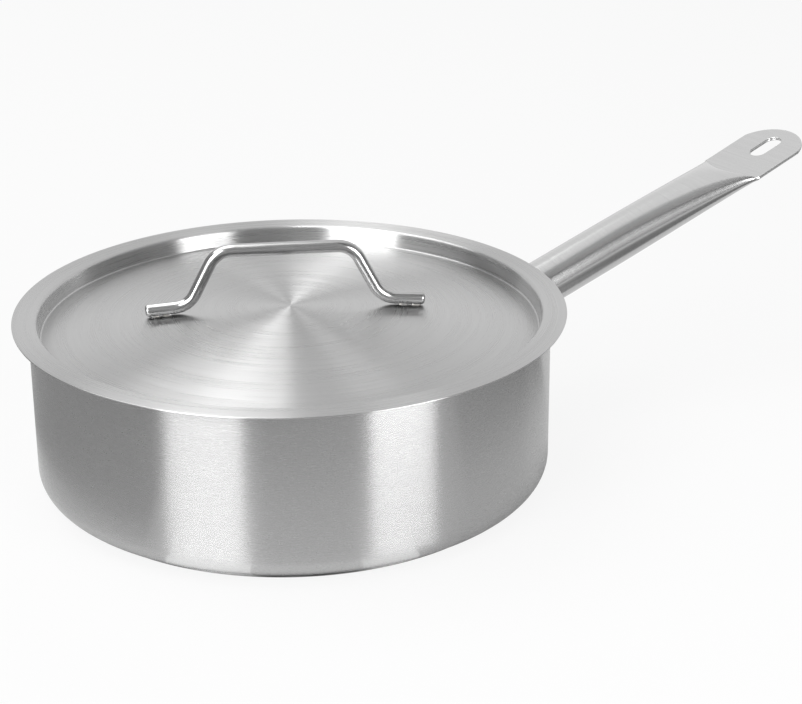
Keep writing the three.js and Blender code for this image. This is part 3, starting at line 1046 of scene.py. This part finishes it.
def slot_point(toward, grown):
    """Where a line from the slot's middle leaves the slot, grown by an amount."""
    radius = SLOT_WIDTH / 2 + grown
    straight = (SLOT_LENGTH - SLOT_WIDTH) / 2
    way = toward.normalized()
    side = radius / max(abs(way.y), ALONG_SLOT)
    if abs(way.x) * side <= straight:
        return way * side
    nearer = abs(way.x) * straight
    return way * (nearer + math.sqrt(nearer**2 - straight**2 + radius**2))


print("points round the tab's outline:", len(tab_outline()))

# %% Skin of the handle
SLOT_RIM = 0.3 * MM
SEAM_DEPTH = 0.22 * MM
SEAM_WIDTH = 0.12 * MM
TAB_LOOPS = (0.05, 0.15, 0.4, 0.7, 0.93)
FLAT_TOP = 1 - 1e-6


def tab_skin(skin):
    outline = tab_outline()
    fold = TUBE_SHEET
    middle = Vector((SLOT_FROM_CREASE, 0))
    along = tilted(TAB_TILT)[0]

    def loop(flat, up, sinks=None):
        ups = [up - math.copysign(sink, up) for sink in sinks] if sinks else [up] * len(flat)
        points = [tab_place(p.x, p.y, height) for p, height in zip(flat, ups)]
        return skin.ring(points, [(TUBE_LENGTH + p.x, p.y, up) for p in flat], along)

    def taken_in(point, amount, sunk=0.0):
        """A point of the outline, moved in square to it, and further where the edge is cut."""
        at, across, facing, cut = point
        amount += sunk * cut
        return Vector((at - amount * math.cos(facing), across - amount * math.sin(facing)))

    over = [p for p in oval(TAB_HALF, TUBE_SHEET) if p.y >= fold * FLAT_TOP]
    shares = [inward(p.x, TAB_HALF) for p in over]
    rim = [Vector((-CREASE_BOW * share, p.x)) for share, p in zip(shares, over)]
    rim += [taken_in(point, fold) for point in outline[1:-1]]
    sinks = [crease_sink(share) for share in shares]
    sinks += [0.0] * (len(rim) - len(sinks))
    rays = [p - middle for p in rim]
    mouth = [middle + slot_point(ray, SLOT_RIM) for ray in rays]
    slot_walls = {}
    for side in (1, -1):
        face = [loop(rim, side * fold, sinks)]
        for share in TAB_LOOPS:
            face.append(loop([p.lerp(q, share) for p, q in zip(rim, mouth)], side * fold))
        for k in range(EDGE_STEPS + 1):
            grown = SLOT_RIM * (1 - math.sin(edge_turn(k)))
            up = fold - SLOT_RIM * (1 - math.cos(edge_turn(k)))
            face.append(loop([middle + slot_point(ray, grown) for ray in rays], side * up))
        face.append(loop([middle + slot_point(ray, 0) for ray in rays], side * SEAM_WIDTH))
        skin.bands(face)
        slot_walls[side] = face[-1]
    seam = loop([middle + slot_point(ray, SEAM_DEPTH) for ray in rays], 0)
    skin.bands([slot_walls[1], seam, slot_walls[-1]])

    edge = []
    for k in range(-EDGE_STEPS, EDGE_STEPS + 1):
        amount = fold * (1 - math.cos(edge_turn(k)))
        sunk = 0.0 if k else SEAM_DEPTH
        flat = [taken_in(point, amount, sunk) for point in outline]
        edge.append(loop(flat, fold * math.sin(edge_turn(k))))
    for near, far in zip(edge, edge[1:]):
        skin.band(near, far, closed=False)


def handle_skin():
    skin = Skin()
    rings = tube_rings(skin)
    root = sum((vert.co for vert in rings[0]), Vector()) / len(rings[0])
    skin.bands([skin.ring([root])] + rings)
    tab_skin(skin)
    return skin.piece("handle_skin")


# %% [markdown]
# ## Cross-brushed steel
#
# The handle was finished on a belt that ran across it, so its scratches go round the tube.
# The tube's own directions are kept on the mesh as two attributes: the place along and across,
# for the scratches, and the way along the handle, which is where the reflections spread.

# %% Handle finish
HANDLE_SCRATCH = 0.25 * MM
HANDLE_STROKES = 45
HANDLE_SPREAD = 0.6


def brushed_handle():
    finish, tree, shader = new_finish("handle_steel")
    scratch = (1 / HANDLE_SCRATCH, HANDLE_STROKES, HANDLE_STROKES)
    lines = vector(tree, "MULTIPLY", kept(tree, "brush_place"), scratch)
    fine = noise(tree, Vector=lines, Scale=1.0, Detail=3.0)
    broad = noise(tree, Vector=lines, Scale=0.2, Detail=2.0)
    both = number(tree, "MULTIPLY", number(tree, "ADD", fine, broad), 0.5)
    tangent = wire(
        tree,
        "ShaderNodeVectorTransform",
        {0: kept(tree, "brush_way")},
        vector_type="VECTOR",
        convert_from="OBJECT",
        convert_to="WORLD",
    ).outputs[0]
    plug(tree, shader, {
        "Base Color": grey_between(tree, both, dark=0.53, light=0.59),
        "Roughness": between(tree, both, low=0.18, high=0.23),
        "Normal": dents(tree, fine, depth=0.002 * MM),
        "Tangent": tangent,
    })
    shader.inputs["Anisotropic"].default_value = HANDLE_SPREAD
    return finish


dress(handle_skin(), "pan", "handle_steel", brushed_handle(), "handle_tube")

# %% [markdown]
# ## The saddle and the welds
#
# A plate bent to the round of the wall carries the tube. It is held by four spot welds,
# and a bead of weld runs round the tube's root. Two small welds hold each foot of the grip.
# The plate is made of loops from its rim in to its middle, each laid on the wall.

# %% Saddle plate
SADDLE_SHEET = 1.5 * MM
SADDLE_WIDTH = 48 * MM
SADDLE_HEIGHT = 40 * MM
SADDLE_CORNER = 9 * MM
SADDLE_EDGE = 0.5 * MM
SADDLE_CORNER_STEPS = 12
SADDLE_SIDE_STEPS = 12
SADDLE_LOOPS = (0.9, 0.7, 0.45, 0.2, 0)
SADDLE_GAP = 0.3 * MM
SADDLE_FACE = PAN_RADIUS + SADDLE_GAP + SADDLE_SHEET
HANDLE_UP = TUBE_ROOT.z


def on_wall(across, up, radius):
    return Vector((math.sqrt(radius**2 - across**2), across, up))


def plate_outline(inset):
    """A rectangle with round corners, taken in by an amount, as (across, up) points."""
    radius = SADDLE_CORNER - inset
    half_width = SADDLE_WIDTH / 2 - SADDLE_CORNER
    half_height = SADDLE_HEIGHT / 2 - SADDLE_CORNER
    points = []
    for quarter, (x, y) in enumerate([(1, 1), (-1, 1), (-1, -1), (1, -1)]):
        middle = Vector((x * half_width, y * half_height))
        for i in range(SADDLE_CORNER_STEPS + 1):
            turn = math.pi / 2 * (quarter + i / SADDLE_CORNER_STEPS)
            points.append(middle + radius * Vector((math.cos(turn), math.sin(turn))))
    spread_out = []
    for near, far in zip(points, points[1:] + points[:1]):
        straight = (far - near).length > LONGEST_STEP
        count = SADDLE_SIDE_STEPS if straight else 1
        spread_out += [near.lerp(far, i / count) for i in range(count)]
    return spread_out


def saddle_plate():
    skin = Skin()
    rims = [(0, PAN_RADIUS), (0, SADDLE_FACE - SADDLE_EDGE)]
    for k in range(1, EDGE_STEPS + 1):
        inset = SADDLE_EDGE * (1 - math.cos(edge_turn(k)))
        rims.append((inset, SADDLE_FACE - SADDLE_EDGE * (1 - math.sin(edge_turn(k)))))
    rings = [skin.ring([on_wall(0, HANDLE_UP, PAN_RADIUS)])]
    for inset, radius in rims:
        outline = plate_outline(inset)
        rings.append(skin.ring([on_wall(p.x, HANDLE_UP + p.y, radius) for p in outline]))
    for share in SADDLE_LOOPS:
        outline = plate_outline(SADDLE_EDGE)
        shrunk = [p * share for p in outline] if share else [Vector((0, 0))]
        rings.append(skin.ring([on_wall(p.x, HANDLE_UP + p.y, SADDLE_FACE) for p in shrunk]))
    skin.bands(rings)
    return skin.piece("saddle_plate")


saddle_steel = spun_steel(
    "saddle_steel",
    greys=(0.46, 0.56),
    roughness=(0.34, 0.46),
    groove=0.008 * MM,
    scratch=0.3 * MM,
    strokes=90,
    broad_share=0.2,
)
dress(saddle_plate(), "pan", "handle_steel", saddle_steel, "handle_saddle")

# %% [markdown]
# ### Weld metal
#
# Weld metal freezes in ripples and keeps a straw and blue heat tint where it wasn't polished.
# The ripples on the bead are real geometry; the tint is a slow noise between three colours.

# %% Weld finish
WELD_TINTS = (
    (NOISE_LOW, (0.33, 0.34, 0.36)),
    (0.5, (0.42, 0.42, 0.42)),
    (NOISE_HIGH, (0.50, 0.48, 0.44)),
)


def weld_metal():
    finish, tree, shader = new_finish("weld_steel")
    place = wire(tree, "ShaderNodeTexCoord").outputs["Object"]
    slow = noise(tree, Vector=place, Scale=160.0, Detail=2.0)
    grain = noise(tree, Vector=place, Scale=1800.0, Detail=4.0)
    plug(tree, shader, {
        "Base Color": tinted(tree, slow, WELD_TINTS),
        "Roughness": between(tree, grain, low=0.34, high=0.55),
        "Normal": dents(tree, grain, depth=0.04 * MM, strength=0.5),
    })
    return finish


weld_steel = weld_metal()

# %% Bead round the tube
BEAD_RADIUS = 2.0 * MM
BEAD_AWAY = 1.9 * MM
BEAD_TURNS = 160
BEAD_SIDES = 14
BEAD_RIPPLES = 32
RIPPLE_DEPTH = 0.07


def handle_bead():
    skin = Skin()
    along, above = tilted(TUBE_TILT)
    rings = []
    for turn in round_turns(BEAD_TURNS):
        away = TUBE_RADIUS + BEAD_AWAY
        out = math.sqrt((SADDLE_FACE + BEAD_AWAY) ** 2 - (away * math.cos(turn)) ** 2)
        lift = away * math.sin(turn)
        station = (out - TUBE_ROOT.x + lift * math.sin(TUBE_TILT)) / math.cos(TUBE_TILT)
        outward = ACROSS * math.cos(turn) + above * math.sin(turn)
        middle = TUBE_ROOT + along * station + outward * away
        radius = BEAD_RADIUS * (1 + RIPPLE_DEPTH * math.cos(BEAD_RIPPLES * turn))
        rings.append(skin.ring([
            middle + (along * math.cos(t) + outward * math.sin(t)) * radius
            for t in round_turns(BEAD_SIDES)
        ]))
    skin.bands(rings + rings[:1])
    return skin.piece("handle_bead")


dress(handle_bead(), "pan", "weld_steel", weld_steel, "handle_weld")

# %% [markdown]
# ### Spot welds
#
# A spot weld is pressed between two round electrodes, which leave a low ring and a shallow dish.
# A weld under the rod wells up where the rod was pressed into the lid while the current ran.
# A squashed sphere would miss the dish, so each is a list of pairs, a share of its size and
# a height, and each pair becomes a ring.

# %% Spot welds on the saddle
SPOT_RADIUS = 2.7 * MM
SPOT_PROUD = 0.4 * MM
SPOT_SIDES = 40
SPOT_SIDE = [(1.0, -0.6), (1.0, 0.0), (0.95, 0.6), (0.86, 0.95), (0.74, 1.0)]
SPOT_DISH = [(0.6, 0.85), (0.4, 0.6), (0.2, 0.5), (0, 0.48)]


def spot_weld(name, node):
    low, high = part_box(node)
    across, up = (low.y + high.y) / 2, (low.z + high.z) / 2
    skin = Skin()
    rings = []
    for share, proud in SPOT_SIDE + SPOT_DISH:
        radius = SADDLE_FACE + proud * SPOT_PROUD
        turns = round_turns(SPOT_SIDES) if share else [0.0]
        reach = share * SPOT_RADIUS
        rings.append(skin.ring([
            on_wall(across + reach * math.cos(t), up + reach * math.sin(t), radius) for t in turns
        ]))
    skin.bands(rings)
    return skin.piece(name)


for i in (1, 2, 3, 4):
    node = f"saddle_spot_{i}"
    dress(spot_weld(f"spot_weld_{i}", node), "pan", "weld_steel", weld_steel, node)

# %% Welds under the grip's feet
NUGGET_LENGTH = 4.4 * MM
NUGGET_WIDTH = 1.7 * MM
NUGGET_SIDES = 28
NUGGET_TOP = [(0, 0.65), (0.6, 0.6), (0.85, 0.4), (0.9, 0.1)]
NUGGET_FOOT = [(0.95, -0.3), (1.1, -0.62), (0.6, -0.68), (0, -0.7)]


def foot_nugget(name, node):
    """A small oval weld that wells up between a foot and the lid."""
    low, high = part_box(node)
    middle = (low + high) / 2
    turned = Matrix.Rotation(ROD_TURN, 4, "Z")
    skin = Skin()
    rings = []
    for share, up in NUGGET_TOP + NUGGET_FOOT:
        turns = round_turns(NUGGET_SIDES) if share else [0.0]
        length, width = share * NUGGET_LENGTH / 2, share * NUGGET_WIDTH / 2
        flat = [Vector((length * math.cos(t), width * math.sin(t), up * MM)) for t in turns]
        rings.append(skin.ring([middle + turned @ point for point in flat]))
    skin.bands(rings)
    return skin.piece(name)


for i in (1, 2, 3, 4):
    node = f"lid_weld_{i}"
    dress(foot_nugget(f"foot_nugget_{i}", node), "lid", "weld_steel", weld_steel, node)
